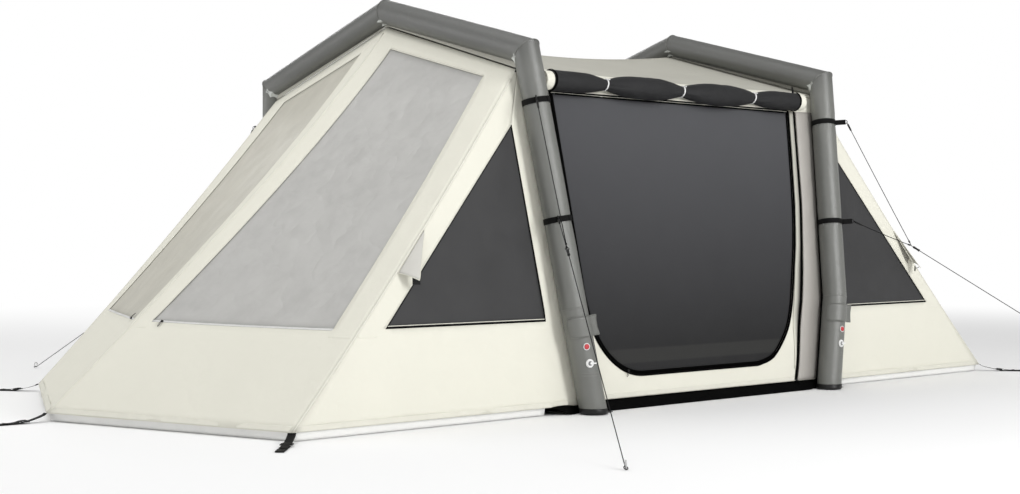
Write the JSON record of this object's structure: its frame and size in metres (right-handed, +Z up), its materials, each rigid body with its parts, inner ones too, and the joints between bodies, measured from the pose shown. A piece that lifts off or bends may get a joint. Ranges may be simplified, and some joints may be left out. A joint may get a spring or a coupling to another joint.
{
  "type": "tunnel tent",
  "caption": "Inflatable tunnel tent with external air-beam arches, prow-shaped windowed ends and a D-shaped mesh door under a rolled outer door.",
  "frame": {"origin": "centre of the footprint, on the ground", "axes": "+X along the tunnel, -Y towards the door side, +Z up"},
  "size_m": [6.5802, 5.4408, 2.1277],
  "materials": {
    "cream_polyester": "coated polyester, plain weave, matt",
    "roof_polyester": "coated polyester, plain weave, matt",
    "window_film": "soft grey window film with a closed blind behind it",
    "tinted_film": "dark tinted window film",
    "mesh_cloth": "fine dark insect mesh",
    "dark_polyester": "dark coated polyester",
    "groundsheet": "black coated groundsheet, slight gloss",
    "beam_sleeve": "grey dense polyester sleeve, satin",
    "bladder_film": "clear polyurethane film",
    "black_webbing": "woven black webbing",
    "guy_cord": "braided dark cord",
    "white_plastic": "moulded white plastic",
    "red_plastic": "moulded red plastic"
  },
  "bodies": {
    "tent": {"roof_panel": "roof_polyester", "door_wall": "cream_polyester", "rear_wall": "cream_polyester", "groundsheet": "groundsheet", "door_roll": "dark_polyester", "air_beam_sleeve_left": "beam_sleeve", "air_beam_bladder_left": "bladder_film", "inflation_valve_left": "white_plastic", "relief_valve_left": "white_plastic", "end_wall_left": "cream_polyester", "peg_strap_prow_left": "black_webbing", "end_window_near_left": "window_film", "side_panel_near_left": "cream_polyester", "side_window_near_left": "tinted_film", "guy_line_near_left": "guy_cord", "peg_strap_near_left": "black_webbing", "guy_band_near_left_lower": "black_webbing", "guy_band_near_left_upper": "black_webbing", "end_window_far_left": "window_film", "side_panel_far_left": "cream_polyester", "side_window_far_left": "tinted_film", "guy_line_far_left": "guy_cord", "peg_strap_far_left": "black_webbing", "guy_band_far_left_lower": "black_webbing", "guy_band_far_left_upper": "black_webbing", "air_beam_sleeve_right": "beam_sleeve", "air_beam_bladder_right": "bladder_film", "inflation_valve_right": "white_plastic", "relief_valve_right": "white_plastic", "end_wall_right": "cream_polyester", "peg_strap_prow_right": "black_webbing", "end_window_near_right": "window_film", "side_panel_near_right": "cream_polyester", "side_window_near_right": "tinted_film", "guy_line_near_right": "guy_cord", "peg_strap_near_right": "black_webbing", "guy_band_near_right_lower": "black_webbing", "guy_band_near_right_upper": "black_webbing", "end_window_far_right": "window_film", "side_panel_far_right": "cream_polyester", "side_window_far_right": "tinted_film", "guy_line_far_right": "guy_cord", "peg_strap_far_right": "black_webbing", "guy_band_far_right_lower": "black_webbing", "guy_band_far_right_upper": "black_webbing"},
    "mesh_door_panel": {"mesh_door": "mesh_cloth"},
    "flap_left": {"valve_flap_left": "beam_sleeve"},
    "cap_left": {"inflation_cap_left": "white_plastic"},
    "button_left": {"relief_button_left": "red_plastic"},
    "vent_near_left": {"vent_flap_near_left": "cream_polyester"},
    "tensioner_near_left": {"line_tensioner_near_left": "white_plastic"},
    "vent_far_left": {"vent_flap_far_left": "cream_polyester"},
    "tensioner_far_left": {"line_tensioner_far_left": "white_plastic"},
    "flap_right": {"valve_flap_right": "beam_sleeve"},
    "cap_right": {"inflation_cap_right": "white_plastic"},
    "button_right": {"relief_button_right": "red_plastic"},
    "vent_near_right": {"vent_flap_near_right": "cream_polyester"},
    "tensioner_near_right": {"line_tensioner_near_right": "white_plastic"},
    "vent_far_right": {"vent_flap_far_right": "cream_polyester"},
    "tensioner_far_right": {"line_tensioner_far_right": "white_plastic"}
  },
  "joints": [
    {"name": "mesh_door_lift", "type": "hinge", "parent": "tent", "child": "mesh_door_panel", "pos_m": [0, -1.13037, 1.562], "axis": [-1, 0, 0], "range_deg": [0, 72]},
    {"name": "valve_flap_left_open", "type": "hinge", "parent": "tent", "child": "flap_left", "pos_m": [-1.05087, -1.38738, 0.40822], "axis": [0.1908, -0.0725, -0.9789], "range_deg": [0, 70]},
    {"name": "inflation_cap_left_open", "type": "hinge", "parent": "tent", "child": "cap_left", "pos_m": [-0.98754, -1.45222, 0.25063], "axis": [0, -0.0103, -0.9999], "range_deg": [0, 90]},
    {"name": "relief_button_left_press", "type": "slide", "parent": "tent", "child": "button_left", "axis": [0.3109, 0.9504, -0.0098], "range_m": [0, 0.003], "stiffness_N_per_m": 600},
    {"name": "vent_flap_near_left_close", "type": "hinge", "parent": "tent", "child": "vent_near_left", "pos_m": [-1.85401, -1.23102, 0.78875], "axis": [0.6468, 0.096, 0.7566], "range_deg": [0, 40]},
    {"name": "line_tensioner_near_left_slide", "type": "slide", "parent": "tent", "child": "tensioner_near_left", "axis": [-0.4499, -0.7128, -0.538], "range_m": [0, 0.64]},
    {"name": "vent_flap_far_left_close", "type": "hinge", "parent": "tent", "child": "vent_far_left", "pos_m": [-1.85401, 1.23102, 0.78875], "axis": [-0.6468, 0.096, -0.7566], "range_deg": [0, 40]},
    {"name": "line_tensioner_far_left_slide", "type": "slide", "parent": "tent", "child": "tensioner_far_left", "axis": [-0.4499, 0.7128, -0.538], "range_m": [0, 0.64]},
    {"name": "valve_flap_right_open", "type": "hinge", "parent": "tent", "child": "flap_right", "pos_m": [0.9135, -1.38738, 0.435], "axis": [-0.1908, -0.0725, -0.9789], "range_deg": [0, 70]},
    {"name": "inflation_cap_right_open", "type": "hinge", "parent": "tent", "child": "cap_right", "pos_m": [0.92818, -1.46035, 0.2556], "axis": [0, -0.081, -0.9967], "range_deg": [0, 90]},
    {"name": "relief_button_right_press", "type": "slide", "parent": "tent", "child": "button_right", "axis": [0.0367, 0.996, -0.0809], "range_m": [0, 0.003], "stiffness_N_per_m": 600},
    {"name": "vent_flap_near_right_close", "type": "hinge", "parent": "tent", "child": "vent_near_right", "pos_m": [1.85401, -1.23102, 0.78875], "axis": [0.6468, -0.096, -0.7566], "range_deg": [0, 40]},
    {"name": "line_tensioner_near_right_slide", "type": "slide", "parent": "tent", "child": "tensioner_near_right", "axis": [0.4499, -0.7128, -0.538], "range_m": [0, 0.64]},
    {"name": "vent_flap_far_right_close", "type": "hinge", "parent": "tent", "child": "vent_far_right", "pos_m": [1.85401, 1.23102, 0.78875], "axis": [-0.6468, -0.096, 0.7566], "range_deg": [0, 40]},
    {"name": "line_tensioner_far_right_slide", "type": "slide", "parent": "tent", "child": "tensioner_far_right", "axis": [0.4499, 0.7128, -0.538], "range_m": [0, 0.64]}
  ]
}
